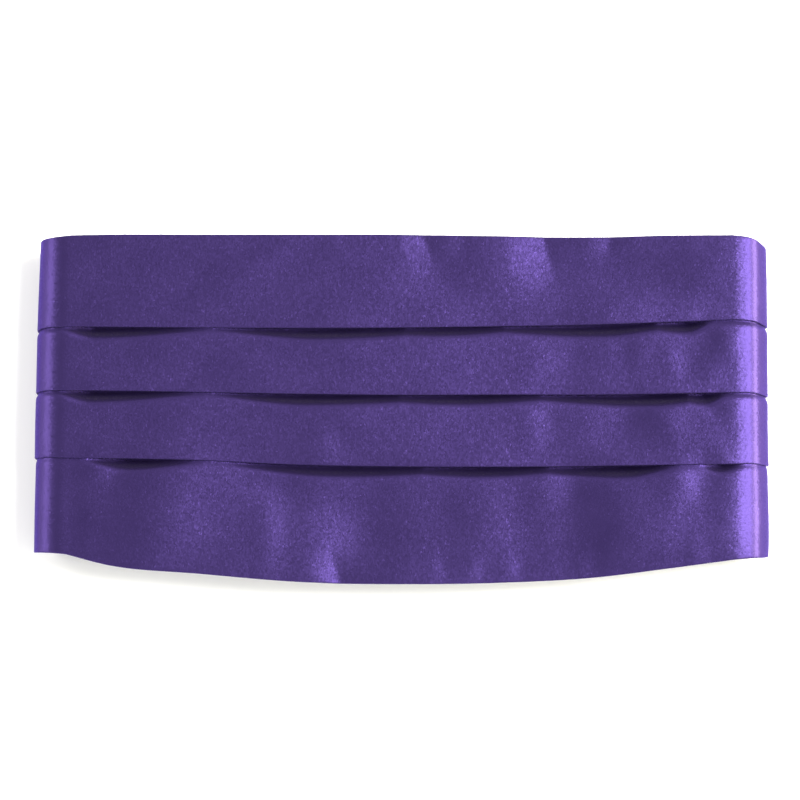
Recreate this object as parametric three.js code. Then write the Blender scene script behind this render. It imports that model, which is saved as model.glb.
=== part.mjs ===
// A satin cummerbund, fastened and laid flat as for display: four pleats in front, whose ends
// turn round both sides and run on behind as two tapering wings that overlap. An elastic strap
// joins the wings and lies folded between them.
// Units are millimetres. X runs along the front, Y up its height and Z up from the surface
// that it lies on. The origin is on that surface, under the middle of the loop.

import * as THREE from "three";

// Driving dimensions of the pleated panel
const frontWidth = 266;
const centreHeight = 127;
const wingEndHeight = 76;
const wingOverlap = 74;
const wingAxis = 4.8; // the wings' middle line, above the middle of the front's height
const clothThickness = 1;
const foldGap = 0.3; // between the two layers of one fold
const pleatLap = 9; // how far a pleat's folded edge is turned up, over the next pleat
const hemWidth = 10;
const foldLift = 0.8; // how far the slackest stretch of a folded edge stands off
const liftedLaps = 2; // how far up the face that reaches, in laps
const dentDepth = 1.2; // of the deepest dent
const waistGap = 7; // clear height inside the loop, over the upper tab

// Driving dimensions of the straps, the tabs and the clasp
const strapWidth = 25;
const strapThickness = 1;
const strapTail = 14; // turned back beyond the clasp's bar
const tabThickness = 1;
const tabLap = 12; // of a tab on the pleats' ends
const tabReach = 20; // of a tab beyond the pleats' ends
const tabMargin = 2; // of a tab inside the wing's edges, and outside the strap's
const claspThickness = 1.6;
const claspBar = 2.5;
const claspSlot = 4;
const claspWeb = 13; // the plate between the two slots
const claspCorner = 0.6; // radius at the corners of a slot
const clearance = 0.3; // between two pieces that touch
const rampClearance = 4; // from the strap's turn to where the upper wing starts down

// The five long lines of the panel along the front, from the left turn (-1) to the right turn
// (+1). Heights are shares of centreHeight above the front's middle.
const frontLines = [
  { along: -1.0, top: 0.498, fold1: 0.235, fold2: 0.052, fold3: -0.141, bottom: -0.415 },
  { along: -0.88, top: 0.5, fold1: 0.234, fold2: 0.051, fold3: -0.142, bottom: -0.443 },
  { along: -0.6, top: 0.5, fold1: 0.232, fold2: 0.047, fold3: -0.148, bottom: -0.471 },
  { along: -0.3, top: 0.5, fold1: 0.231, fold2: 0.042, fold3: -0.16, bottom: -0.494 },
  { along: 0.0, top: 0.5, fold1: 0.232, fold2: 0.039, fold3: -0.165, bottom: -0.5 },
  { along: 0.3, top: 0.496, fold1: 0.236, fold2: 0.04, fold3: -0.166, bottom: -0.496 },
  { along: 0.6, top: 0.493, fold1: 0.241, fold2: 0.04, fold3: -0.164, bottom: -0.48 },
  { along: 0.8, top: 0.497, fold1: 0.247, fold2: 0.042, fold3: -0.162, bottom: -0.457 },
  { along: 1.0, top: 0.5, fold1: 0.254, fold2: 0.045, fold3: -0.16, bottom: -0.432 },
];

// The same lines at a wing's end, as shares of wingEndHeight above wingAxis.
const wingEndLine = { top: 0.5, fold1: 0.22, fold2: 0.02, fold3: -0.18, bottom: -0.5 };

// Where a folded edge stands off the pleat below: its middle along the front, its half length
// as a share of half the front, and its height as a share of foldLift.
const liftedStretches = [
  { fold: "fold1", along: -0.86, reach: 0.16, lift: 0.9 },
  { fold: "fold1", along: -0.2, reach: 0.36, lift: 1.0 },
  { fold: "fold1", along: 0.68, reach: 0.3, lift: 0.8 },
  { fold: "fold2", along: -0.84, reach: 0.18, lift: 1.0 },
  { fold: "fold2", along: -0.15, reach: 0.4, lift: 0.8 },
  { fold: "fold2", along: 0.74, reach: 0.24, lift: 1.0 },
  { fold: "fold3", along: -0.76, reach: 0.18, lift: 1.0 },
  { fold: "fold3", along: 0.0, reach: 0.45, lift: 0.7 },
  { fold: "fold3", along: 0.6, reach: 0.28, lift: 1.0 },
];

// Shallow dents of the whole panel. Places are shares along the front and of centreHeight
// above its middle, reaches are shares of half the front and of centreHeight.
const dents = [
  { along: 0.06, height: 0.5, reach: 0.1, spread: 0.2, depth: 0.8 },
  { along: 0.4, height: 0.47, reach: 0.14, spread: 0.22, depth: 1.0 },
  { along: 0.6, height: 0.5, reach: 0.1, spread: 0.14, depth: 0.7 },
  { along: -0.22, height: -0.5, reach: 0.12, spread: 0.18, depth: 0.9 },
  { along: -0.42, height: -0.34, reach: 0.16, spread: 0.2, depth: 0.8 },
  { along: 0.45, height: -0.36, reach: 0.24, spread: 0.2, depth: 0.7 },
];

// Mesh fineness
const frontSteps = 18;
const turnSteps = 8;
const rampSteps = 6;
const wingSteps = 2;
const foldSteps = 4;
const faceSteps = 4;
const strapTurnSteps = 8;
const cornerSteps = 3;

const lineNames = ["top", "fold1", "fold2", "fold3", "bottom"];

// The layers of the panel, counted outward from its inner face. lowLayer, upperLayer and
// faceLayer are the middles of the three layers of cloth where a pleat laps the next one.
const layerStep = clothThickness + foldGap;
const lowLayer = clothThickness / 2;
const hemLayer = lowLayer + layerStep;
const returnLayer = lowLayer + clothThickness + clearance;
const faceLayer = returnLayer + layerStep;
const stack = faceLayer + clothThickness / 2;

// Heights of the loop's levels above the surface. A wing's and the front's are their inner
// faces, and claspLevel is the middle of the clasp.
const wingLevel = stack;
const loopHalf = claspThickness / 2 + clearance + strapThickness;
const strapOffset = claspThickness / 2 + clearance + strapThickness / 2;
const claspLevel = wingLevel + clearance + tabThickness + clearance + loopHalf;
const upperWingLevel = claspLevel + loopHalf + clearance + stack;
const upperTabTop = upperWingLevel + clearance + tabThickness;
const frontLevel = upperTabTop + waistGap;
const turnRadius = (frontLevel - wingLevel) / 2;
const flatHalf = frontWidth / 2 - stack - turnRadius;

// Places along X
const wingEnd = wingOverlap / 2;
const tabEnd = wingEnd + tabReach;
const lowerStrapLevel = wingLevel - strapThickness / 2;
const upperStrapLevel = upperWingLevel - strapThickness / 2;
const lowerTurnRadius = (claspLevel + strapOffset - lowerStrapLevel) / 2;
const rampTop = tabEnd + clearance + lowerTurnRadius + strapThickness / 2 + rampClearance;

const satin = { color: 0x4d3c80, roughness: 0.42, metalness: 0 };
const elastic = { color: 0x2a2140, roughness: 0.85, metalness: 0 };
const steel = { color: 0x9a9aa0, roughness: 0.3, metalness: 1 };

// A smooth hump: 1 where distance is 0, and 0 from reach on.
function hump(distance, reach) {
  return 1 - THREE.MathUtils.smoothstep(Math.abs(distance), 0, reach);
}

// The heights of the five lines at a station of the panel's path, by name.
const frontHeights = new THREE.CubicInterpolant(
  frontLines.map((row) => row.along),
  frontLines.flatMap((row) => lineNames.map((name) => row[name])),
  lineNames.length,
);

function linesAt(station) {
  const shares = frontHeights.evaluate(station.along);
  return Object.fromEntries(
    lineNames.map((name, i) => {
      const onFront = shares[i] * centreHeight;
      const atEnd = wingAxis + wingEndLine[name] * wingEndHeight;
      return [name, THREE.MathUtils.lerp(onFront, atEnd, station.wing)];
    }),
  );
}

// How far a folded edge stands off at a station.
function liftAt(fold, station) {
  if (station.wing > 0) return 0;
  const lifts = liftedStretches
    .filter((row) => row.fold === fold)
    .map((row) => row.lift * hump(station.along - row.along, row.reach));
  return foldLift * Math.max(...lifts);
}

// The panel's dents at a station and a height: how far all its layers lie inward there.
function dentAt(station, height) {
  if (station.wing > 0) return 0;
  const towardsTurn = hump(station.along, 1);
  const depths = dents.map((row) => {
    const across = hump(height / centreHeight - row.height, row.spread);
    return row.depth * hump(station.along - row.along, row.reach) * across;
  });
  return dentDepth * Math.max(...depths) * Math.sqrt(towardsTurn);
}

// The path of the panel's inner face in the XZ plane, from the left wing's end round the left
// turn, along the front, round the right turn and up over the left wing to the right one's end.
function panelStations() {
  const turnLevel = (frontLevel + wingLevel) / 2;
  const quarter = Math.PI / 2;
  const rampPull = (flatHalf - rampTop) / 2;
  const line = (x0, z0, x1, z1) =>
    new THREE.LineCurve(new THREE.Vector2(x0, z0), new THREE.Vector2(x1, z1));
  const turn = (x, from, to) =>
    new THREE.EllipseCurve(x, turnLevel, turnRadius, turnRadius, from, to, true);
  const ramp = new THREE.CubicBezierCurve(
    new THREE.Vector2(flatHalf, wingLevel),
    new THREE.Vector2(flatHalf - rampPull, wingLevel),
    new THREE.Vector2(rampTop + rampPull, upperWingLevel),
    new THREE.Vector2(rampTop, upperWingLevel),
  );
  const left = [
    { curve: line(wingEnd, wingLevel, -flatHalf, wingLevel), steps: wingSteps },
    { curve: turn(-flatHalf, -quarter, quarter), steps: turnSteps },
  ];
  const front = [
    { curve: line(-flatHalf, frontLevel, flatHalf, frontLevel), steps: frontSteps },
  ];
  const right = [
    { curve: turn(flatHalf, quarter, -quarter), steps: turnSteps },
    { curve: ramp, steps: rampSteps },
    { curve: line(rampTop, upperWingLevel, -wingEnd, upperWingLevel), steps: wingSteps },
  ];
  const along = (pieces, describe) => {
    const total = pieces.reduce((sum, piece) => sum + piece.curve.getLength(), 0);
    let travelled = 0;
    return pieces.flatMap(({ curve, steps }) => {
      const found = Array.from({ length: steps }, (_, i) => {
        const share = (i + 1) / steps;
        const place = curve.getPointAt(share);
        const ahead = curve.getTangentAt(share);
        const done = (travelled + share * curve.getLength()) / total;
        return { place, outward: new THREE.Vector2(-ahead.y, ahead.x), ...describe(done) };
      });
      travelled += curve.getLength();
      return found;
    });
  };
  const start = {
    place: new THREE.Vector2(wingEnd, wingLevel),
    outward: new THREE.Vector2(0, -1),
    along: -1,
    wing: 1,
  };
  return [
    start,
    ...along(left, (done) => ({ along: -1, wing: 1 - done })),
    ...along(front, (done) => ({ along: 2 * done - 1, wing: 0 })),
    ...along(right, (done) => ({ along: 1, wing: done })),
  ];
}

// Half a turn of a fold, as the middle line of the cloth: from one layer to another, with the
// outside of the fold at the height edge. towards is 1 for a fold at the top of a layer and -1
// for one at the bottom.
function foldTurn(edge, towards, fromLayer, toLayer) {
  const radius = Math.abs(toLayer - fromLayer) / 2;
  const centre = edge - towards * (radius + clothThickness / 2);
  const middle = (fromLayer + toLayer) / 2;
  return Array.from({ length: foldSteps + 1 }, (_, i) => {
    const angle = (Math.PI * i) / foldSteps;
    return {
      height: centre + towards * radius * Math.sin(angle),
      out: middle + ((fromLayer - toLayer) / 2) * Math.cos(angle),
    };
  });
}

// The face of a pleat between two heights, rising smoothly from one layer to another.
function faceRise(fromHeight, toHeight, fromLayer, toLayer, steps) {
  return Array.from({ length: steps + 1 }, (_, i) => {
    const share = i / steps;
    return {
      height: THREE.MathUtils.lerp(fromHeight, toHeight, share),
      out: THREE.MathUtils.lerp(fromLayer, toLayer, share * share * (3 - 2 * share)),
    };
  });
}

// The middle line of a pleat's cloth across the panel, from its upper raw edge, down the face
// and round the lower fold to its lower raw edge.
function pleatProfile(upper, lower) {
  const isTop = upper === "top";
  const isBottom = lower === "bottom";
  return (station) => {
    const lines = linesAt(station);
    const scale = (lines.top - lines.bottom) / centreHeight;
    const lap = pleatLap * scale;
    const hem = hemWidth * scale;
    const start = isTop
      ? [
          { height: lines.top - hem, out: lowLayer },
          ...foldTurn(lines.top, 1, lowLayer, hemLayer),
        ]
      : [{ height: lines[upper] + lap - clearance, out: lowLayer }];
    const face = faceRise(
      isTop ? lines.top - hem : lines[upper],
      lines[lower] + (isBottom ? hem : lap),
      isTop ? hemLayer : lowLayer,
      isBottom ? hemLayer : faceLayer,
      faceSteps,
    );
    const lowerFold = isBottom
      ? foldTurn(lines.bottom, -1, hemLayer, lowLayer)
      : foldTurn(lines[lower], -1, faceLayer, returnLayer);
    const end = isBottom
      ? { height: lines.bottom + hem, out: lowLayer }
      : { height: lines[lower] + lap - clearance, out: returnLayer };
    const lift = isBottom ? 0 : liftAt(lower, station);
    const raised = (point) => lift * hump(point.height - lines[lower], liftedLaps * lap);
    const lapped = [face.at(-1), ...lowerFold, end].map((point) => ({
      height: point.height,
      out: point.out + raised(point),
    }));
    return [...start, ...face.slice(0, -1), ...lapped].map((point) => ({
      height: point.height,
      out: point.out - dentAt(station, point.height),
    }));
  };
}

// The unit normal of a line of points in a plane at one of them, on the line's left.
function leftOf(points, i) {
  const before = points[Math.max(i - 1, 0)];
  const here = points[i];
  const after = points[Math.min(i + 1, points.length - 1)];
  const first = new THREE.Vector2(here.x - before.x, here.y - before.y).normalize();
  const second = new THREE.Vector2(after.x - here.x, after.y - here.y).normalize();
  const ahead = first.clone().add(second).normalize();
  const reference = i > 0 ? first : second;
  const mitre = 1 / Math.max(ahead.dot(reference), 0.5);
  return new THREE.Vector2(-ahead.y, ahead.x).multiplyScalar(mitre);
}

// A band of even thickness round a line of points: its left side and then its right side.
function thicken(points, thickness) {
  const side = (sign) =>
    points.map((point, i) => {
      const normal = leftOf(points, i);
      return new THREE.Vector2(point.x, point.y).addScaledVector(normal, (sign * thickness) / 2);
    });
  return { left: side(1), right: side(-1) };
}

// A closed solid of a thick profile swept along the panel's stations.
function sweptCloth(stations, profileAt) {
  const positions = [];
  const rings = stations.map((station) => {
    const points = profileAt(station).map((p) => new THREE.Vector2(p.height, p.out));
    const { left, right } = thicken(points, clothThickness);
    return [...left, ...right.reverse()].map((point) => {
      const x = station.place.x + station.outward.x * point.y;
      const z = station.place.y + station.outward.y * point.y;
      positions.push(x, point.x, z);
      return positions.length / 3 - 1;
    });
  });
  const index = [];
  const quad = (a, b, c, d) => index.push(a, b, c, a, c, d);
  const around = rings[0].length;
  for (let i = 0; i + 1 < rings.length; i += 1) {
    for (let j = 0; j < around; j += 1) {
      const next = (j + 1) % around;
      quad(rings[i][j], rings[i + 1][j], rings[i + 1][next], rings[i][next]);
    }
  }
  const first = rings[0];
  const last = rings.at(-1);
  for (let j = 0; j + 1 < around / 2; j += 1) {
    const across = around - 1 - j;
    quad(first[j], first[j + 1], first[across - 1], first[across]);
    quad(last[across], last[across - 1], last[j + 1], last[j]);
  }
  const geometry = new THREE.BufferGeometry();
  geometry.setAttribute("position", new THREE.Float32BufferAttribute(positions, 3));
  geometry.setIndex(index);
  geometry.computeVertexNormals();
  return geometry;
}

// One half of the strap, seen along Y. It starts beside the pleats' ends under its tab, turns
// back between the wings, goes round the clasp's bar and ends in a short tail. side is 1 for
// the strap of the left wing, whose end lies at +X, and -1 for the other one.
function strapGeometry(side, startLevel) {
  const runLevel = claspLevel + side * strapOffset;
  const tailLevel = claspLevel - side * strapOffset;
  const foldX = tabEnd + clearance;
  const barX = claspWeb / 2 + claspSlot + clearance;
  const path = new THREE.Path();
  path.moveTo(side * (wingEnd + clearance), startLevel);
  path.lineTo(side * foldX, startLevel);
  const foldRadius = Math.abs(runLevel - startLevel) / 2;
  const foldCentre = (runLevel + startLevel) / 2;
  const quarter = Math.PI / 2;
  const fromBelow = -side * quarter;
  path.absarc(side * foldX, foldCentre, foldRadius, fromBelow, -fromBelow, false);
  path.lineTo(side * barX, runLevel);
  path.absarc(side * barX, claspLevel, strapOffset, -fromBelow, fromBelow, false);
  path.lineTo(side * (barX + strapTail), tailLevel);
  const points = path.getPoints(strapTurnSteps).filter((p, i, all) => {
    return i === 0 || p.distanceTo(all[i - 1]) > clearance / 10;
  });
  const { left, right } = thicken(points, strapThickness);
  const outline = new THREE.Shape([...left, ...right.reverse()]);
  const geometry = new THREE.ExtrudeGeometry(outline, { depth: strapWidth, bevelEnabled: false });
  geometry.rotateX(Math.PI / 2);
  geometry.translate(0, wingAxis + strapWidth / 2, 0);
  return geometry;
}

// A tab: a flat piece as high as the wing's end, tapering to the strap. side is as for a strap.
function tabGeometry(side, level) {
  const tallHalf = wingEndHeight / 2 - tabMargin;
  const shortHalf = strapWidth / 2 + tabMargin;
  const outline = new THREE.Shape();
  outline.moveTo(side * (wingEnd - tabLap), wingAxis - tallHalf);
  outline.lineTo(side * wingEnd, wingAxis - tallHalf);
  outline.lineTo(side * tabEnd, wingAxis - shortHalf);
  outline.lineTo(side * tabEnd, wingAxis + shortHalf);
  outline.lineTo(side * wingEnd, wingAxis + tallHalf);
  outline.lineTo(side * (wingEnd - tabLap), wingAxis + tallHalf);
  outline.closePath();
  const geometry = new THREE.ExtrudeGeometry(outline, {
    depth: tabThickness,
    bevelEnabled: false,
  });
  geometry.translate(0, 0, level);
  return geometry;
}

// A rectangle with round corners, drawn into a shape or a hole.
function roundedRectangle(path, x0, x1, halfY, radius) {
  const quarter = Math.PI / 2;
  const corners = [
    { x: x1 - radius, y: radius - halfY, from: -quarter },
    { x: x1 - radius, y: halfY - radius, from: 0 },
    { x: x0 + radius, y: halfY - radius, from: quarter },
    { x: x0 + radius, y: radius - halfY, from: 2 * quarter },
  ];
  corners.forEach(({ x, y, from }) => path.absarc(x, y, radius, from, from + quarter, false));
  return path.closePath();
}

// The clasp: a flat plate with a slot for each strap.
function claspGeometry() {
  const halfLength = claspWeb / 2 + claspSlot + claspBar;
  const slotHalf = strapWidth / 2 + clearance;
  const halfHeight = slotHalf + claspBar;
  const plate = new THREE.Shape();
  roundedRectangle(plate, -halfLength, halfLength, halfHeight, claspCorner + claspBar);
  plate.holes = [-1, 1].map((side) => {
    const ends = [side * (claspWeb / 2), side * (claspWeb / 2 + claspSlot)];
    const slot = new THREE.Path();
    return roundedRectangle(slot, Math.min(...ends), Math.max(...ends), slotHalf, claspCorner);
  });
  const geometry = new THREE.ExtrudeGeometry(plate, {
    depth: claspThickness,
    bevelEnabled: false,
    curveSegments: cornerSteps,
  });
  geometry.translate(0, wingAxis, claspLevel - claspThickness / 2);
  return geometry;
}

function named(name, geometry, finish) {
  const mesh = new THREE.Mesh(geometry, new THREE.MeshStandardMaterial(finish));
  mesh.name = name;
  return mesh;
}

function pleatedPanel() {
  const stations = panelStations();
  const panel = new THREE.Group();
  lineNames.slice(1).forEach((lower, i) => {
    const geometry = sweptCloth(stations, pleatProfile(lineNames[i], lower));
    panel.add(named(`pleat_${i + 1}`, geometry, satin));
  });
  return panel;
}

function fastening() {
  const lowerTab = wingLevel + clearance;
  const upperTab = upperWingLevel + clearance;
  const group = new THREE.Group();
  group.add(named("left_end_tab", tabGeometry(1, lowerTab), satin));
  group.add(named("right_end_tab", tabGeometry(-1, upperTab), satin));
  group.add(named("left_strap", strapGeometry(1, lowerStrapLevel), elastic));
  group.add(named("right_strap", strapGeometry(-1, upperStrapLevel), elastic));
  group.add(named("clasp", claspGeometry(), steel));
  return group;
}

const cummerbund = new THREE.Group();
cummerbund.name = "cummerbund";
cummerbund.add(pleatedPanel(), fastening());

export default cummerbund;
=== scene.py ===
import math

import bmesh
import bpy
import numpy as np
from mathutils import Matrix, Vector


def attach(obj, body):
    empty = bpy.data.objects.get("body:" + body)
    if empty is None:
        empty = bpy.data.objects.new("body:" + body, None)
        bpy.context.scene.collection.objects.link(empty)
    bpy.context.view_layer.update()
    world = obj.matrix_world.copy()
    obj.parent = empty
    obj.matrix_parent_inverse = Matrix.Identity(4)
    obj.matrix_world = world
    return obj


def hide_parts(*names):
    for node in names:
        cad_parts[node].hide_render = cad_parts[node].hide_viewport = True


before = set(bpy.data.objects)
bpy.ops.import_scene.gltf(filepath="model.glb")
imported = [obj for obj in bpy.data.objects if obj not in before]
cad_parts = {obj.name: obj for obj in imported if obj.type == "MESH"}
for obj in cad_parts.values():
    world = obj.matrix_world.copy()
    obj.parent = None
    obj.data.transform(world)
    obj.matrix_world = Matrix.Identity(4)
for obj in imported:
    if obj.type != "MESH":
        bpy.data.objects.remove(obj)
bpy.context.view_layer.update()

# Driving dimensions, in metres. The pleated panel lies where its solids do.
MM = 0.001
FRONT_WIDTH = 266 * MM
CENTRE_HEIGHT = 127 * MM
WING_END_HEIGHT = 76 * MM
WING_OVERLAP = 74 * MM
WING_AXIS = 4.8 * MM
SOLID_LAYER = 1.0 * MM
SOLID_STEP = 1.3 * MM
PLEAT_LAP = 9 * MM
HEM_WIDTH = 10 * MM
WAIST_GAP = 7 * MM
CLEARANCE = 0.3 * MM
RAMP_CLEARANCE = 4 * MM

# The satin itself, finer than its solids: its thickness and the steps between its layers
CLOTH = 0.34 * MM
FOLD_STEP = 0.4 * MM
LAYER_STEP = 0.38 * MM

# The pocket under a folded edge: how far down it reaches where it is deepest and where it is
# shallowest, where it starts above the edge, and how square its border is
POCKET_REACH = 3.4 * MM
POCKET_LEAST = 1.6 * MM
POCKET_START = 0.15 * MM
POCKET_POWER = 2.6
LIFT_REACH = 13 * MM

# How fast the layers loosen and the front's reliefs fade along a wing, and how far a wing
# keeps off the floor
WING_LOOSE = 1.2
WING_FADE = 4
WING_REST = 0.15 * MM

# The gentle random surface of the whole panel
WAVE_SEED = 3
WAVE_COUNT = 14
WAVE_LENGTH = 34 * MM
WAVE_SPREAD = (0.6, 1.8)
WAVE_HEIGHT = 0.05 * MM

# The satin's threads: how many show in a metre, their lean and shape, how much each is
# turned, how much more the few that glint are, and how rare those are
FLOAT_SCALE = 2500.0
FLOAT_LEAN = math.radians(40)
FLOAT_SHAPE = (1, 0.6, 1)
FLOAT_TURN = 0.085
FLOAT_GLINT = 0.12
FLOAT_RARITY = 5

# The satin's two shades, how finely they mix and where each begins
SATIN_SHADES = ((0.0378, 0.0232, 0.1010, 1), (0.0425, 0.0262, 0.1120, 1))
SHADE_SCALE = 60.0
SHADE_ENDS = (0.35, 0.65)

# The straps, the tabs and the clasp
STRAP_WIDTH = 25 * MM
STRAP_THICKNESS = 1.0 * MM
STRAP_TAIL = 14 * MM
STRAP_RIBS = 12
RIB_DEPTH = 0.16 * MM
TAB_THICKNESS = 1.0 * MM
TAB_LAP = 12 * MM
TAB_REACH = 20 * MM
TAB_MARGIN = 2 * MM
CLASP_THICKNESS = 1.6 * MM
CLASP_SLOT = 4 * MM
CLASP_WEB = 13 * MM
CLASP_BEVEL = 0.3 * MM
CLASP_BEVEL_STEPS = 3
CLASP_SHARP = math.radians(50)
CLASP_FLAT = math.radians(1)
CLASP_WELD = 0.001 * MM
STITCH_LENGTH = 2.2 * MM
STITCH_GAP = 0.9 * MM
STITCH_RADIUS = 0.17 * MM
STITCH_INSET = 2.4 * MM
STITCH_SIDES = 8
STITCH_PLACES = (-1.0, -0.8, -0.4, 0.4, 0.8, 1.0)
STITCH_TAPER = (0.3, 0.75, 1.0, 1.0, 0.75, 0.3)
SEAM_DEPTH = 0.16 * MM
SEAM_REACH = 0.7 * MM
BAND_STEP = 0.7 * MM
BAND_POINTS = 96
EDGE_POINTS = 4
EDGE_ANGLES = (80, 10)
STRAP_FOLD_POINTS = 60

# The camera: the photograph's scale on the front's face, and the viewing angle
CAMERA_DISTANCE = 2.0
CAMERA_ELEVATION = math.radians(83.5)
PIXEL = 0.361 * MM
IMAGE_PIXELS = 800
IMAGE_CENTRE_Y = 8.5 * PIXEL
IMAGE_CENTRE_X = -1 * PIXEL
SENSOR = 36.0

# The studio's soft light: the white surroundings overhead, round about, how fast the one
# gives way to the other and how much they brighten towards one side, and the lamps
WORLD_FALL = 4
WORLD_OVERHEAD = 0.04
WORLD_ROUND = 1.25
WORLD_SIDE = (0.05, -0.30, 0)
LIGHTS = (
    # name, side in metres, watts, azimuth, elevation, distance in metres, colour
    ("top_light", 1.0, 132, 16, 58, 3.0, (1, 1, 1)),
    ("left_light", 1.6, 56, 165, 25, 3.0, (1, 0.98, 0.92)),
    ("right_light", 2.0, 280, 8, 14, 3.0, (1, 0.98, 0.68)),
)

# The floor: its side in metres, its colour and its own faint light
FLOOR_SIZE = 6
FLOOR_COLOUR = (0.88, 0.88, 0.88, 1)
FLOOR_GLOW = 0.17

# The panel's long lines, from its upper hem to its lower one
LINES = ("top", "fold1", "fold2", "fold3", "bottom")

# How much further out each end lies than its solids, at the top and at the bottom
ENDS_OUT = {"left": (-1.3 * MM, 0.6 * MM), "right": (-0.3 * MM, -0.6 * MM)}

# The pressed line down the right turn and the flat facet beyond it: place along the turn's
# inner face, reach and height
PRESSED_LINE = (5.6 * MM, 2.6 * MM, 0.50 * MM)
FACET = (8.8 * MM, 2.2 * MM, -0.35 * MM)

# How far the lines drop round the right turn: from where on, the reach and the most
CORNER_AT = 3 * MM
CORNER_REACH = 9 * MM
CORNER_DROP = {
    "top": 2.2 * MM,
    "fold1": 1.0 * MM,
    "fold2": 0.6 * MM,
    "fold3": 0.5 * MM,
    "bottom": -0.4 * MM,
}

# How square each turn is: 2 is a circle
LEFT_TURN_POWER = 2.9
RIGHT_TURN_POWER = 2.5

# The long lines of the panel along the front, as shares of its half width and its height
FRONT_LINES = (
    # along, top, fold1, fold2, fold3, bottom
    (-1.0, 0.498, 0.235, 0.052, -0.141, -0.415),
    (-0.88, 0.5, 0.234, 0.051, -0.142, -0.445),
    (-0.6, 0.5, 0.232, 0.047, -0.148, -0.471),
    (-0.3, 0.5, 0.231, 0.042, -0.16, -0.494),
    (0.0, 0.5, 0.232, 0.039, -0.165, -0.5),
    (0.3, 0.496, 0.236, 0.04, -0.166, -0.496),
    (0.6, 0.493, 0.241, 0.04, -0.164, -0.48),
    (0.8, 0.497, 0.247, 0.042, -0.162, -0.457),
    (1.0, 0.4975, 0.254, 0.045, -0.16, -0.432),
)

# The same lines at a wing's end, as shares of its height above its axis
WING_END_LINE = (0.5, 0.22, 0.02, -0.18, -0.5)

# Where a folded edge stands off the pleat below it: the fold, the place along the front and the
# reach to the left and to the right as shares of half the front, and in mm how far the edge
# lifts and the pleat below it sinks
LIFTED = (
    # fold, along, left, right, lift, sink
    ("fold1", -0.835, 0.10, 0.33, 0.2, 4.2),
    ("fold1", -0.22, 0.32, 0.46, 0.1, 4.2),
    ("fold1", 0.11, 0.30, 0.30, 0.1, 2.8),
    ("fold1", 0.55, 0.40, 0.27, 0.4, 4.6),
    ("fold1", 0.78, 0.16, 0.07, 0.2, 4.2),
    ("fold2", -0.845, 0.10, 0.32, 0.3, 4.4),
    ("fold2", -0.27, 0.27, 0.50, 0.1, 4.2),
    ("fold2", 0.16, 0.35, 0.35, 0.3, 3.4),
    ("fold2", 0.68, 0.43, 0.24, 0.4, 4.8),
    ("fold2", 0.83, 0.12, 0.06, 0.2, 4.4),
    ("fold3", -0.74, 0.13, 0.21, 0.1, 4.3),
    ("fold3", -0.19, 0.33, 0.50, 0.1, 4.2),
    ("fold3", 0.21, 0.35, 0.35, 0.3, 3.6),
    ("fold3", 0.61, 0.35, 0.15, 0.4, 4.8),
    ("fold3", 0.87, 0.06, 0.06, 0.2, 2.3),
)

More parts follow.
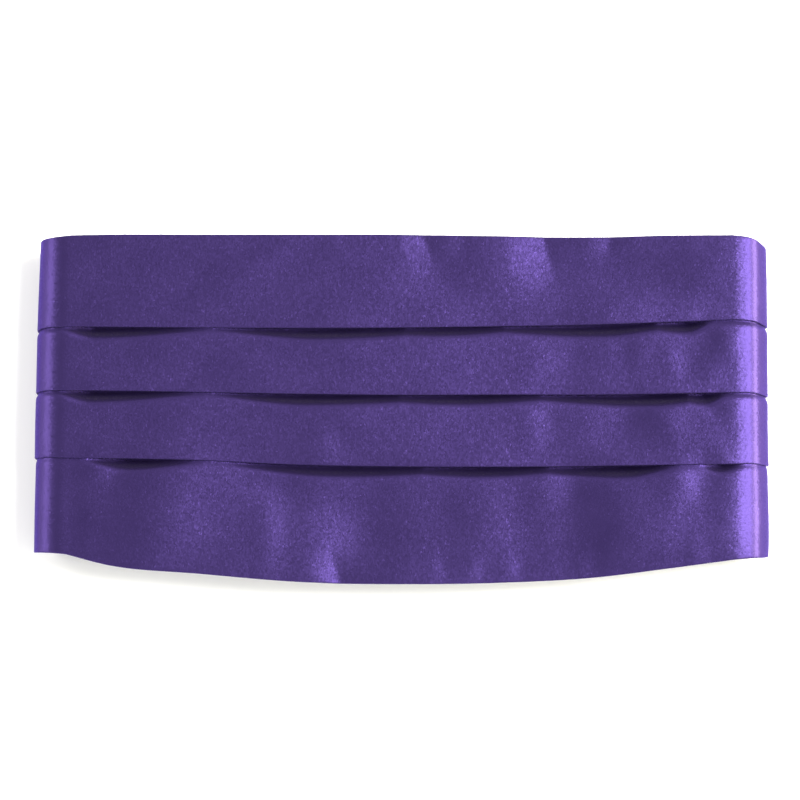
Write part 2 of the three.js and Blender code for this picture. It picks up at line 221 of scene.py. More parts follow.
# Soft slopes of the front: place as shares of half the front and of its height, reach across
# the slope and spread along it in mm, lean of its line in degrees, and tilt in degrees, which
# faces right where it is above 0
SLOPES = (
    # along, height, reach, spread, lean, tilt
    (0.925, 0.000, 4.0, 90, 0, 0.3),
    (0.65, 0.000, 45, 90, 0, -1.7),
    (0.40, -0.330, 45, 14, 0, -3.0),
    (0.75, -0.340, 10, 16, 0, -3.2),
    (0.15, -0.310, 12, 14, 0, -4.0),
    (0.36, -0.330, 8.0, 12, 25, -2.0),
    (0.66, -0.300, 6.0, 14, 0, -2.2),
    (0.80, -0.340, 5.0, 14, 0, -2.6),
    (0.925, 0.400, 4.0, 14, 0, -1.2),
    (0.71, -0.300, 5.0, 9.0, 0, -2.0),
    (0.83, -0.260, 3.5, 10, 0, -1.8),
    (0.80, -0.020, 5.0, 5.0, 0, -2.2),
    (0.60, -0.040, 6.0, 6.0, 0, -1.2),
    (0.79, 0.170, 4.0, 5.0, -20, -2.0),
    (0.70, -0.080, 12, 9.0, 0, -2.6),
    (0.84, 0.340, 14, 16, 0, -1.5),
    (0.83, 0.150, 5.0, 9.0, 0, -2.2),
    (-0.70, -0.360, 22, 14, 0, -1.0),
    (-0.22, 0.220, 28, 22, 0, -0.6),
    (-0.31, 0.446, 3.5, 9.0, -72, 2.1),
    (-0.17, 0.489, 2.5, 2.5, 0, 2.5),
    (0.145, 0.474, 3.0, 3.0, 0, 2.5),
    (0.18, 0.400, 10, 9.0, 0, -2.1),
    (0.36, 0.385, 9.0, 7.0, 0, 2.5),
    (0.71, 0.410, 18, 8.0, 0, -3.3),
    (0.81, 0.474, 3.0, 3.0, 0, 1.6),
    (0.75, 0.290, 22, 6.0, 0, 1.1),
    (-0.89, 0.213, 3.0, 3.0, 0, 1.1),
    (0.41, 0.140, 9.0, 7.0, 10, 2.1),
    (0.63, 0.165, 4.0, 6.0, 0, -2.5),
    (0.76, 0.130, 4.5, 4.0, -10, 3.0),
    (0.86, 0.195, 5.0, 4.5, -10, -5.8),
    (-0.19, -0.100, 5.0, 4.5, 0, 2.1),
    (0.38, -0.045, 5.0, 6.0, 10, 2.9),
    (0.66, -0.020, 6.0, 5.0, -10, -3.3),
    (0.77, -0.040, 5.0, 6.0, 0, 2.5),
    (0.875, 0.000, 4.5, 4.0, 0, -4.9),
    (-0.87, -0.300, 4.5, 13, 0, -2.5),
    (-0.80, -0.180, 4.0, 4.0, 0, 3.3),
    (-0.55, -0.270, 12, 20, -48, 4.6),
    (-0.38, -0.235, 11, 7.0, 0, 3.4),
    (-0.335, -0.355, 5.0, 12, 0, 3.0),
    (-0.02, -0.340, 14, 16, 0, -5.2),
    (0.43, -0.220, 5.5, 4.5, 0, 2.7),
    (0.55, -0.330, 12, 14, 0, -6.0),
    (0.79, -0.198, 6.0, 5.0, -28, 4.9),
    (0.865, -0.300, 5.0, 13, 0, -5.0),
    (0.10, -0.455, 3.0, 4.0, 0, 2.5),
    (0.21, -0.455, 3.0, 4.0, 0, 2.5),
    (0.31, -0.450, 3.0, 4.0, 0, 2.5),
    (0.51, -0.430, 3.0, 4.0, 0, 2.5),
    (0.815, -0.420, 3.0, 4.0, 0, 2.5),
)

# Sharp tucks that hang from a hem: the tuck's line from its hem end to its soft end, as shares
# of half the front and of its height, the lit flank's width in mm and its tilt in degrees
TUCKS = (
    # along0, height0, along1, height1, width, tilt
    (0.062, 0.495, 0.100, 0.375, 9.0, 4.9),
    (0.390, 0.495, 0.428, 0.340, 15, 5.8),
    (0.572, 0.495, 0.560, 0.410, 8.0, 4.9),
    (-0.162, -0.500, -0.198, -0.385, 9.0, 6.7),
)

# How wide a tuck's gentle side is beside its lit flank, how curved the flank is, and where
# along its line, as shares of its length, it starts to fade and over what length it does
TUCK_BACK = 1.7
TUCK_POWER = 1.35
TUCK_FADE_FROM = -0.1
TUCK_FADE_OVER = 1.3

# Mesh fineness
WING_STEP = 2.4 * MM
TURN_STEP = 0.8 * MM
TURN_POINTS = 400
FRONT_STEP = 0.9 * MM
FOLD_POINTS = 8
LAP_POINTS = 7
POCKET_POINTS = 18
POCKET_ZONE = 7.5 * MM
FACE_STEP = 1.0 * MM

# Levels of the loop, which follow the solids
solid_stack = SOLID_LAYER / 2 + (SOLID_LAYER + CLEARANCE) + SOLID_STEP + SOLID_LAYER / 2
wing_level = solid_stack
loop_half = CLASP_THICKNESS / 2 + CLEARANCE + STRAP_THICKNESS
strap_offset = CLASP_THICKNESS / 2 + CLEARANCE + STRAP_THICKNESS / 2
clasp_level = wing_level + CLEARANCE + TAB_THICKNESS + CLEARANCE + loop_half
upper_wing_level = clasp_level + loop_half + CLEARANCE + solid_stack
front_level = upper_wing_level + CLEARANCE + TAB_THICKNESS + WAIST_GAP
turn_radius = (front_level - wing_level) / 2
flat_half = FRONT_WIDTH / 2 - solid_stack - turn_radius
wing_end = WING_OVERLAP / 2
tab_end = wing_end + TAB_REACH
lower_strap_level = wing_level - STRAP_THICKNESS / 2
upper_strap_level = upper_wing_level - STRAP_THICKNESS / 2
ramp_top = (
    tab_end
    + CLEARANCE
    + (clasp_level + strap_offset - lower_strap_level) / 2
    + STRAP_THICKNESS / 2
    + RAMP_CLEARANCE
)


def smooth(t):
    """0 below 0, 1 above 1 and a smooth step between."""
    t = np.clip(t, 0, 1)
    return t * t * (3 - 2 * t)


def hump(distance, reach):
    """1 where distance is 0, and 0 from reach on."""
    return 1 - smooth(np.abs(distance) / reach)


def camera():
    """The camera, above the front and a little on its lower side."""
    data = bpy.data.cameras.new("camera")
    data.sensor_width = SENSOR
    data.lens = SENSOR * CAMERA_DISTANCE / (IMAGE_PIXELS * PIXEL)
    data.clip_start = 0.01
    seat = bpy.data.objects.new("camera", data)
    bpy.context.scene.collection.objects.link(seat)
    target = Vector((IMAGE_CENTRE_X, IMAGE_CENTRE_Y, front_level + solid_stack))
    back = Vector((0, -math.cos(CAMERA_ELEVATION), math.sin(CAMERA_ELEVATION)))
    seat.location = target + CAMERA_DISTANCE * back
    seat.rotation_euler = (math.pi / 2 - CAMERA_ELEVATION, 0, 0)
    bpy.context.scene.camera = seat


def evenly(points, step):
    """The same line with its points about one step apart."""
    gaps = np.linalg.norm(np.diff(points, axis=0), axis=1)
    travelled = np.concatenate(([0], np.cumsum(gaps)))
    wanted = np.linspace(0, travelled[-1], max(2, round(travelled[-1] / step)))
    return np.column_stack([np.interp(wanted, travelled, column) for column in points.T])


def stations():
    """The panel's inner face as a row of stations, from the left wing's end round the left
    turn, along the front, round the right turn and up over the left wing to the right one's
    end. Each has its place in XZ, the outward direction, its share along the front, its share
    along a wing and its distance from the front's middle."""
    turn_level = (front_level + wing_level) / 2

    def line(x0, z0, x1, z1, step):
        share = np.linspace(0, 1, max(2, round(math.hypot(x1 - x0, z1 - z0) / step)))
        return np.column_stack((x0 + share * (x1 - x0), z0 + share * (z1 - z0)))

    def turn(x, start, end, power):
        angle = np.linspace(start, end, TURN_POINTS)
        across = np.sign(np.cos(angle)) * np.abs(np.cos(angle)) ** (2 / power)
        up = np.sign(np.sin(angle)) * np.abs(np.sin(angle)) ** (2 / power)
        dense = np.column_stack((x + turn_radius * across, turn_level + turn_radius * up))
        return evenly(dense, TURN_STEP)

    def ramp():
        share = np.linspace(0, 1, round((flat_half - ramp_top) / WING_STEP))
        pull = (flat_half - ramp_top) / 2
        xs = (flat_half, flat_half - pull, ramp_top + pull, ramp_top)
        zs = (wing_level, wing_level, upper_wing_level, upper_wing_level)
        weights = (
            (1 - share) ** 3,
            3 * (1 - share) ** 2 * share,
            3 * (1 - share) * share**2,
            share**3,
        )
        return np.column_stack(
            (sum(w * x for w, x in zip(weights, xs)), sum(w * z for w, z in zip(weights, zs)))
        )

    quarter = math.pi / 2
    parts = (
        line(wing_end, wing_level, -flat_half, wing_level, WING_STEP),
        turn(-flat_half, -quarter, -3 * quarter, LEFT_TURN_POWER),
        line(-flat_half, front_level, flat_half, front_level, FRONT_STEP),
        turn(flat_half, quarter, -quarter, RIGHT_TURN_POWER),
        ramp(),
        line(ramp_top, upper_wing_level, -wing_end, upper_wing_level, WING_STEP),
    )
    points = np.concatenate([parts[0]] + [part[1:] for part in parts[1:]])
    ahead = np.gradient(points, axis=0)
    ahead /= np.linalg.norm(ahead, axis=1)[:, None]
    outward = np.column_stack((-ahead[:, 1], ahead[:, 0]))
    steps = np.linalg.norm(np.diff(points, axis=0), axis=1)
    travelled = np.concatenate(([0], np.cumsum(steps)))
    before = len(parts[0]) + len(parts[1]) - 2
    after = before + len(parts[2]) - 1
    wing = np.zeros(len(points))
    wing[:before] = 1 - travelled[:before] / travelled[before]
    wing[after:] = (travelled[after:] - travelled[after]) / (travelled[-1] - travelled[after])
    along = np.clip(
        2 * (travelled - travelled[before]) / (travelled[after] - travelled[before]) - 1, -1, 1
    )
    reach = travelled - (travelled[before] + travelled[after]) / 2
    return {
        "place": points,
        "outward": outward,
        "along": along,
        "wing": wing,
        "reach": reach,
    }


def spline(x, xs, ys):
    """A smooth curve through points, with slopes from their neighbours."""
    xs, ys = np.asarray(xs, float), np.asarray(ys, float)
    slopes = np.gradient(ys, xs)
    i = np.clip(np.searchsorted(xs, x) - 1, 0, len(xs) - 2)
    span = xs[i + 1] - xs[i]
    t = (x - xs[i]) / span
    return (
        (2 * t**3 - 3 * t**2 + 1) * ys[i]
        + (t**3 - 2 * t**2 + t) * span * slopes[i]
        + (3 * t**2 - 2 * t**3) * ys[i + 1]
        + (t**3 - t**2) * span * slopes[i + 1]
    )


def line_heights(path):
    """The heights of the five lines at every station, by name."""
    table = np.array(FRONT_LINES)
    beyond = path["reach"] - flat_half - CORNER_AT
    corner = hump(np.maximum(beyond, 0) - CORNER_REACH, CORNER_REACH) * (beyond > 0)
    found = {}
    for column, (name, end) in enumerate(zip(LINES, WING_END_LINE), start=1):
        front = spline(path["along"], table[:, 0], table[:, column]) * CENTRE_HEIGHT
        at_end = WING_AXIS + end * WING_END_HEIGHT
        found[name] = front + (at_end - front) * path["wing"] - CORNER_DROP[name] * corner
    return found


def stand_off(fold, path):
    """How far a folded edge lifts and the pleat below it sinks, at every station."""
    shares = path["reach"] / (FRONT_WIDTH / 2)
    rows = []
    for name, along, left, right, lift, sink in LIFTED:
        if name == fold:
            there = hump(shares - along, np.where(shares < along, left, right))
            rows.append((lift * there, sink * there))
    lifts, sinks = np.max(rows, axis=0) * MM
    return lifts, sinks


def slope_relief(reach, height):
    """The front's soft slopes, as a height off its plane: each falls to the right or left in
    its middle and rises gently on both sides."""
    total = np.zeros_like(height)
    for along, level, wide, tall, lean, tilt in SLOPES:
        angle = math.radians(lean)
        dx = reach - along * FRONT_WIDTH / 2
        dy = height - level * CENTRE_HEIGHT
        across = (dx * math.cos(angle) + dy * math.sin(angle)) / (wide * MM)
        up = (-dx * math.sin(angle) + dy * math.cos(angle)) / (tall * MM)
        total -= math.tan(math.radians(tilt)) * dx * np.exp(-(across**2 + up**2) / 2)
    return total


def turn_relief(reach):
    """The pressed line and the facet of the right turn, as a height off its round."""
    beyond = reach - flat_half
    at, wide, tall = PRESSED_LINE
    line = tall * np.clip(1 - np.abs(beyond - at) / wide, 0, 1)
    at, wide, tall = FACET
    return line + tall * np.exp(-(((beyond - at) / wide) ** 2))


def tuck_relief(reach, height):
    """The sharp tucks: a lit flank that falls to the tuck's line, and a gentle way back."""
    total = np.zeros_like(height)
    for along0, level0, along1, level1, wide, tilt in TUCKS:
        hem_end = np.array((along0 * FRONT_WIDTH / 2, level0 * CENTRE_HEIGHT))
        soft_end = np.array((along1 * FRONT_WIDTH / 2, level1 * CENTRE_HEIGHT))
        line = soft_end - hem_end
        length = np.linalg.norm(line)
        line /= length
        side = np.array((line[1], -line[0])) * (1 if line[1] > 0 else -1)
        dx, dy = reach - hem_end[0], height - hem_end[1]
        across = (dx * side[0] + dy * side[1]) / (wide * MM)
        up = (dx * line[0] + dy * line[1]) / length
        lit = np.clip(1 + across, 0, 1) ** TUCK_POWER
        back = np.clip(1 - across / TUCK_BACK, 0, 1) ** 2
        depth = math.tan(math.radians(tilt)) * wide * MM / TUCK_POWER
        fade = 1 - smooth((up - TUCK_FADE_FROM) / TUCK_FADE_OVER)
        total -= depth * np.where(across < 0, lit, back) * fade
    return total


def waves(reach, height):
    """A gentle random surface: plane waves of about one length."""
    generator = np.random.default_rng(WAVE_SEED)
    total = np.zeros(np.broadcast(reach, height).shape)
    for _ in range(WAVE_COUNT):
        angle = generator.uniform(0, math.pi)
        wave = WAVE_LENGTH * generator.uniform(*WAVE_SPREAD)
        phase = generator.uniform(0, 2 * math.pi)
        total += np.sin(
            2 * math.pi * (reach * math.cos(angle) + height * math.sin(angle)) / wave + phase
        )
    return WAVE_HEIGHT * total / math.sqrt(WAVE_COUNT)


def relief(path, rows, on_front):
    """The cloth's soft surface at every station: the front's slopes, tucks and pressed line,
    and gentle waves all round. The wings keep a little off the floor."""
    reach = np.repeat(path["reach"][:, None], rows.shape[1], axis=1)
    front = slope_relief(reach, rows) + tuck_relief(reach, rows) + turn_relief(reach)
    wing = 1 - on_front[:, None]
    return front * on_front[:, None] + waves(reach, rows) - WING_REST * wing


def rows_between(start, end, count):
    """Rows of heights from start to end at every station, without the last."""
    share = np.arange(count) / count
    return start[:, None] + (end - start)[:, None] * share[None, :]


def fold_rows(edge, towards, outside, inside):
    """Half a turn of a fold at every station: heights, and levels from outside to inside."""
    radius = np.abs(inside - outside) / 2
    angle = np.linspace(0, math.pi, FOLD_POINTS + 1)[None, :]
    centre = edge - towards * (radius + CLOTH / 2)
    heights = centre[:, None] + towards * radius[:, None] * np.sin(angle)
    middle = (outside + inside) / 2
    levels = middle[:, None] + ((outside - inside) / 2)[:, None] * np.cos(angle)
    return heights, levels


def layer_levels(path):
    """The levels of the layers above the panel's inner face: finely stacked along the front
    and looser towards the wings' ends, where they meet the tabs."""
    loose = smooth(path["wing"] * WING_LOOSE)
    top = solid_stack - SOLID_LAYER / 2 + (SOLID_LAYER - CLOTH) / 2
    fine_face = np.full_like(loose, top)
    fine_return = fine_face - FOLD_STEP
    fine_low = fine_return - LAYER_STEP
    loose_low = np.full_like(loose, SOLID_LAYER / 2)
    loose_return = loose_low + SOLID_LAYER + CLEARANCE
    loose_face = loose_return + SOLID_STEP + (SOLID_LAYER - CLOTH) / 2

    def mix(fine, spread):
        return fine + (spread - fine) * loose

    return {
        "face": mix(fine_face, loose_face),
        "return": mix(fine_return, loose_return),
        "low": mix(fine_low, loose_low),
    }


def plain_face(start, end, level_from, level_to):
    """The top pleat's face at every station, from its hem down to its lower fold."""
    count = round(float(np.mean(start - end)) / FACE_STEP)
    rows = rows_between(start, end, count)
    down = smooth((start[:, None] - rows) / (start - end)[:, None])
    return rows, level_from[:, None] + (level_to - level_from)[:, None] * down


def tucked_face(start, fold, end, level_from, level_to, sinks):
    """A lower pleat's face at every station: from its raw edge under the pleat above, past
    that pleat's folded edge, under which it sinks, and down to its own lower fold."""
    pocket_end = fold - POCKET_ZONE
    count = round(float(np.mean(pocket_end - end)) / FACE_STEP)
    rows = np.concatenate(
        (
            rows_between(start, fold, LAP_POINTS),
            rows_between(fold, pocket_end, POCKET_POINTS),
            rows_between(pocket_end, end, count),
        ),
        axis=1,
    )
    below = np.maximum(fold[:, None] - rows + POCKET_START, 0)
    open_share = (sinks / sinks.max())[:, None]
    pocket_reach = POCKET_LEAST + (POCKET_REACH - POCKET_LEAST) * open_share
    pocket = np.exp(-((below / pocket_reach) ** POCKET_POWER))
    rise = smooth((fold[:, None] - rows) / (fold - end)[:, None])
    above = (rows - fold[:, None]) / (start - fold)[:, None]
    levels = level_from[:, None] + (level_to - level_from)[:, None] * np.maximum(rise, 1 - pocket)
    return rows, levels - sinks[:, None] * pocket * (1 - smooth(above))


def pleat_middle(path, upper, lower):
    """The middle of a pleat's cloth at every station: heights and levels across it, from its
    upper raw edge down the face and round the lower fold."""
    heights = line_heights(path)
    levels = layer_levels(path)
    scale = (heights["top"] - heights["bottom"]) / CENTRE_HEIGHT
    lap = PLEAT_LAP * scale
    hem = HEM_WIDTH * scale
    hem_level = levels["low"] + FOLD_STEP
    is_top, is_bottom = upper == "top", lower == "bottom"
    on_front = 1 - smooth(path["wing"] * WING_FADE)
    rows, outs = [], []

    def add(row, out):
        rows.append(row)
        outs.append(out if out.ndim == 2 else np.repeat(out[:, None], row.shape[1], axis=1))

    if is_top:
        turn, turn_out = fold_rows(heights["top"], 1, levels["low"], hem_level)
        add(rows_between(heights["top"] - hem, turn[:, 0], LAP_POINTS), levels["low"])
        add(turn[:, :-1], turn_out[:, :-1])
        face_top, face_from = turn[:, -1], hem_level
    else:
        face_top, face_from = heights[upper] + lap - CLEARANCE, levels["low"]
    if is_bottom:
        turn, turn_out = fold_rows(heights["bottom"], -1, hem_level, levels["low"])
        face_to, end = hem_level, heights["bottom"] + hem
    else:
        turn, turn_out = fold_rows(heights[lower], -1, levels["face"], levels["return"])
        face_to, end = levels["face"], heights[lower] + lap - CLEARANCE
    if is_top:
        add(*plain_face(face_top, turn[:, 0], face_from, face_to))
    else:
        sinks = stand_off(upper, path)[1] * on_front
        add(*tucked_face(face_top, heights[upper], turn[:, 0], face_from, face_to, sinks))
    add(turn[:, :-1], turn_out[:, :-1])
    last = levels["low"] if is_bottom else levels["return"]
    add(rows_between(turn[:, -1], end, LAP_POINTS), last)
    rows.append(end[:, None])
    outs.append(last[:, None])
    row, out = np.concatenate(rows, axis=1), np.concatenate(outs, axis=1)
    if not is_bottom:
        near = hump(row - heights[lower][:, None], LIFT_REACH)
        out = out + (stand_off(lower, path)[0] * on_front)[:, None] * near
    return row, out + relief(path, row, on_front)


def thickened(row, out):
    """Both faces of a cloth round its middle, as closed rings."""
    line = np.stack((row, out), axis=2)
    step = np.diff(line, axis=1)
    step /= np.linalg.norm(step, axis=2)[:, :, None]
    first, last = step[:, :1], step[:, -1:]
    before = np.concatenate((first, step), axis=1)
    after = np.concatenate((step, last), axis=1)
    ahead = before + after
    ahead /= np.linalg.norm(ahead, axis=2)[:, :, None]
    mitre = 1 / np.maximum((ahead * before).sum(axis=2), 0.5)
    normal = np.stack((-ahead[:, :, 1], ahead[:, :, 0]), axis=2) * mitre[:, :, None]
    left = line + normal * CLOTH / 2
    right = line - normal * CLOTH / 2
    return np.concatenate((left, right[:, ::-1]), axis=1)


def grid_mesh(name, points, across, along):
    """A closed mesh of rings of points, with its ends capped, and a map in metres of the
    cloth's own directions: along the panel and across it."""
    rings, around = points.shape[:2]
    count = rings * around
    i = np.arange(rings - 1)[:, None] * around
    j = np.arange(around)[None, :]
    nxt = (j + 1) % around
    quads = np.stack((i + j, i + around + j, i + around + nxt, i + nxt), axis=2).reshape(-1, 4)
    half = around // 2
    k = np.arange(half - 1)
    start = np.stack((k, k + 1, around - 2 - k, around - 1 - k), axis=1)
    end = start[:, ::-1] + (rings - 1) * around
    faces = np.concatenate((quads, start, end))
    mesh = bpy.data.meshes.new(name)
    mesh.vertices.add(count)
    mesh.vertices.foreach_set("co", points.reshape(-1))
    mesh.loops.add(faces.size)
    mesh.loops.foreach_set("vertex_index", faces.reshape(-1).astype(np.int32))
    mesh.polygons.add(len(faces))
    mesh.polygons.foreach_set("loop_start", np.arange(len(faces), dtype=np.int32) * 4)
    mesh.polygons.foreach_set("loop_total", np.full(len(faces), 4, np.int32))
    mesh.update(calc_edges=True)
    mesh.validate()
    layer = mesh.uv_layers.new(name="cloth")
    u = np.repeat(along[:, None], around, axis=1).reshape(-1)
    v = np.broadcast_to(across, (rings, around)).reshape(-1)
    loops = np.zeros(len(mesh.loops), np.int32)
    mesh.loops.foreach_get("vertex_index", loops)
    layer.data.foreach_set("uv", np.column_stack((u[loops], v[loops])).reshape(-1))
    mesh.polygons.foreach_set("use_smooth", np.ones(len(mesh.polygons), bool))
    piece = bpy.data.objects.new(name, mesh)
    bpy.context.scene.collection.objects.link(piece)
    return piece


def end_shift(x, y):
    """How far a point moves sideways so that the ends lie as far out as they show."""
    down = np.clip(0.5 - y / CENTRE_HEIGHT, 0, 1)
    left = ENDS_OUT["left"][0] + (ENDS_OUT["left"][1] - ENDS_OUT["left"][0]) * down
    right = ENDS_OUT["right"][0] + (ENDS_OUT["right"][1] - ENDS_OUT["right"][0]) * down
    share = x / (FRONT_WIDTH / 2)
    return np.where(x > 0, right, left) * share


def pleat(number, path, material):
    """One pleat: its cloth, swept along the stations."""
    upper, lower = LINES[number - 1], LINES[number]
    row, out = pleat_middle(path, upper, lower)
    ring = thickened(row, out)
    points = np.empty(ring.shape[:2] + (3,))
    points[:, :, 0] = path["place"][:, :1] + path["outward"][:, :1] * ring[:, :, 1]
    points[:, :, 1] = ring[:, :, 0]
    points[:, :, 2] = path["place"][:, 1:] + path["outward"][:, 1:] * ring[:, :, 1]
    points[:, :, 0] += end_shift(points[:, :, 0], points[:, :, 1])
    middle = len(path["reach"]) // 2
    steps = np.hypot(np.diff(row[middle]), np.diff(out[middle]))
    width = np.concatenate(([0], np.cumsum(steps)))
    across = np.concatenate((width, width[::-1]))
    piece = grid_mesh(f"satin_pleat_{number}", points, across, path["reach"])
    piece.data.materials.append(material)
    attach(piece, "root")
    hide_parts(f"pleat_{number}")
    return piece


def strap_route(side):
    """A strap's middle line in XZ: from the wing's end under its tab, back over the tab's end,
    along to the clasp, round its bar and back. side is 1 for the left strap."""
    start = lower_strap_level if side > 0 else upper_strap_level
    run = clasp_level + side * strap_offset
    tail = clasp_level - side * strap_offset
    fold_x = tab_end + CLEARANCE
    bar_x = CLASP_WEB / 2 + CLASP_SLOT + CLEARANCE
    quarter = side * math.pi / 2
    fold_radius = abs(run - start) / 2
    angle = np.linspace(-quarter, quarter, STRAP_FOLD_POINTS)
    fold = (fold_x + fold_radius * np.cos(angle), (run + start) / 2 + fold_radius * np.sin(angle))
    around = (bar_x - strap_offset * np.cos(angle), clasp_level - strap_offset * np.sin(angle))
    xs = np.concatenate(([wing_end + CLEARANCE], fold[0], around[0], [bar_x + STRAP_TAIL]))
    zs = np.concatenate(([start], fold[1], around[1], [tail]))
    return evenly(np.column_stack((side * xs, zs)), BAND_STEP)


def tab_route(side):
    """A tab's middle line in XZ, from under the panel's end to its outer end."""
    level = (wing_level if side > 0 else upper_wing_level) + CLEARANCE + TAB_THICKNESS / 2
    ends = np.array([[side * (wing_end - TAB_LAP), level], [side * tab_end, level]])
    return evenly(ends, BAND_STEP)


def band(name, route, half_widths, thickness, relief):
    """A band with rounded edges, swept along a route in XZ. half_widths has a value for each
    point of the route, and relief gives what each face loses, from the distance to the edge
    and the place across as a share."""
    ahead = np.gradient(route, axis=0)
    ahead /= np.linalg.norm(ahead, axis=1)[:, None]
    normal = np.column_stack((-ahead[:, 1], ahead[:, 0]))
    radius = thickness / 2
    angle = np.radians(np.linspace(*EDGE_ANGLES, EDGE_POINTS))
    rounding = radius * np.sin(angle)
    flat = half_widths[:, None] - radius
    inner = flat * np.linspace(-1, 1, BAND_POINTS)[None, :]
    across = np.concatenate((-flat - rounding, inner, flat + rounding[::-1]), axis=1)
    full = np.concatenate((np.cos(angle), np.ones(BAND_POINTS), np.cos(angle)[::-1]))
    inset = half_widths[:, None] - np.abs(across)
    out = radius * full[None, :] - relief(inset, across / half_widths[:, None]) * full[None, :]
    out = np.concatenate((out, -out[:, ::-1]), axis=1)
    across = np.concatenate((across, across[:, ::-1]), axis=1)
    points = np.empty(out.shape + (3,))
    points[:, :, 0] = route[:, :1] + normal[:, :1] * out
    points[:, :, 1] = WING_AXIS + across
    points[:, :, 2] = route[:, 1:] + normal[:, 1:] * out
    steps = np.linalg.norm(np.diff(route, axis=0), axis=1)
    along = np.concatenate(([0], np.cumsum(steps)))
    return grid_mesh(name, points, across, along), along[-1]


def strap(name, side, material):
    """One length of the elastic strap, with its lengthwise ribs."""
    route = strap_route(side)
    half = np.full(len(route), STRAP_WIDTH / 2)

    def ribs(_, share):
        return RIB_DEPTH * (1 + np.cos(2 * math.pi * STRAP_RIBS * share)) / 2

    piece, length = band(f"elastic_{name}", route, half, STRAP_THICKNESS, ribs)
    finish_band(piece, name, material)


def tab_half_widths(route):
    """A tab's half width at each point of its route, tapering from the wing to the strap."""
    tall = WING_END_HEIGHT / 2 - TAB_MARGIN
    short = STRAP_WIDTH / 2 + TAB_MARGIN
    share = np.clip((np.abs(route[:, 0]) - wing_end) / TAB_REACH, 0, 1)
    return tall + (short - tall) * share


def tab(name, side, material):
    """One end tab, with the line that its stitching presses into it."""
    route = tab_route(side)
    half = tab_half_widths(route)

    def seam(inset, _):
        return SEAM_DEPTH * np.exp(-(((inset - STITCH_INSET) / SEAM_REACH) ** 2))

    piece, length = band(f"satin_{name}", route, half, TAB_THICKNESS, seam)
    finish_band(piece, name, material)


def finish_band(piece, replaced, material):
    """Gives a band its material and its body, and hides the solid that it replaces."""
    piece.data.materials.append(material)
    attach(piece, "root")
    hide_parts(replaced)


def tab_stitches(name, side, material):
    """Two rows of stitches along a tab's slanted edges, on both of its faces."""
    route = tab_route(side)
    half = tab_half_widths(route) - STITCH_INSET
    pitch = STITCH_LENGTH + STITCH_GAP
    rings = []
    for edge in (1, -1):
        line = evenly(np.column_stack((route[:, 0], WING_AXIS + edge * half)), pitch)
        for face in (1, -1):
            level = route[0, 1] + face * (TAB_THICKNESS / 2 - SEAM_DEPTH)
            middles = (line[1:] + line[:-1]) / 2
            aheads = (line[1:] - line[:-1]) / pitch
            rings += [stitch(middle, ahead, level) for middle, ahead in zip(middles, aheads)]
    piece = joined_rings(name, rings)
    piece.data.materials.append(material)
    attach(piece, "root")


def stitch(middle, ahead, level):
    """One stitch: rings of points along a short round thread with tapered ends."""
    shares = np.array(STITCH_PLACES)
    radii = STITCH_RADIUS * np.array(STITCH_TAPER)
    side = np.array((-ahead[1], ahead[0]))
    angle = np.linspace(0, 2 * math.pi, STITCH_SIDES, endpoint=False)
    rings = np.empty((len(shares), len(angle), 3))
    centre = middle + np.outer(shares, ahead) * STITCH_LENGTH / 2
    rings[:, :, :2] = centre[:, None] + radii[:, None, None] * np.outer(np.cos(angle), side)[None]
    rings[:, :, 2] = level + radii[:, None] * np.sin(angle)[None, :]
    return rings


def joined_rings(name, bodies):
    """One mesh of many small closed bodies, each given as rings of points."""
    made = bmesh.new()
    for rings in bodies:
        rows = [[made.verts.new(point) for point in ring] for ring in rings]
        made.faces.new(rows[0])
        made.faces.new(rows[-1][::-1])
        for low, high in zip(rows, rows[1:]):
            for i in range(len(low)):
                after = (i + 1) % len(low)
                made.faces.new((low[after], low[i], high[i], high[after]))
    bmesh.ops.recalc_face_normals(made, faces=made.faces)
    mesh = bpy.data.meshes.new(name)
    made.to_mesh(mesh)
    made.free()
    mesh.polygons.foreach_set("use_smooth", np.ones(len(mesh.polygons), bool))
    piece = bpy.data.objects.new(name, mesh)
    bpy.context.scene.collection.objects.link(piece)
    return piece


def clasp(material):
    """The clasp's plate with its edges rounded."""
    mesh = bpy.data.objects["clasp"].data.copy()
    made = bmesh.new()
    made.from_mesh(mesh)
    bmesh.ops.remove_doubles(made, verts=made.verts, dist=CLASP_WELD)
    bmesh.ops.dissolve_limit(made, angle_limit=CLASP_FLAT, verts=made.verts, edges=made.edges)
    made.to_mesh(mesh)
    made.free()
    piece = bpy.data.objects.new("steel_clasp", mesh)
    bpy.context.scene.collection.objects.link(piece)
    bevel = piece.modifiers.new("bevel", "BEVEL")
    bevel.width = CLASP_BEVEL
    bevel.segments = CLASP_BEVEL_STEPS
    bevel.limit_method = "ANGLE"
    bevel.angle_limit = CLASP_SHARP
    mesh.materials.clear()
    mesh.materials.append(material)
    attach(piece, "root")
    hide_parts("clasp")


def node(tree, kind, **values):
    """A shader node with its inputs and settings."""
    made = tree.nodes.new(kind)
    for key, value in values.items():
        if key in made.inputs:
            made.inputs[key].default_value = value
        else:
            setattr(made, key, value)
    return made


def new_material(name):
    """A new material with its node tree and its shader."""
    material = bpy.data.materials.new(name)
    material.use_nodes = True
    tree = material.node_tree
    return material, tree, tree.nodes["Principled BSDF"]


def satin_colours(tree, cloth):
    """The satin's slight colour shifts."""
    shifts = node(tree, "ShaderNodeTexNoise", Scale=SHADE_SCALE, Detail=2.0)
    tree.links.new(cloth.outputs["UV"], shifts.inputs["Vector"])
    colours = node(tree, "ShaderNodeValToRGB")
    for element, position, shade in zip(colours.color_ramp.elements, SHADE_ENDS, SATIN_SHADES):
        element.position = position
        element.color = shade
    tree.links.new(shifts.outputs["Fac"], colours.inputs["Fac"])
    return colours.outputs["Color"]


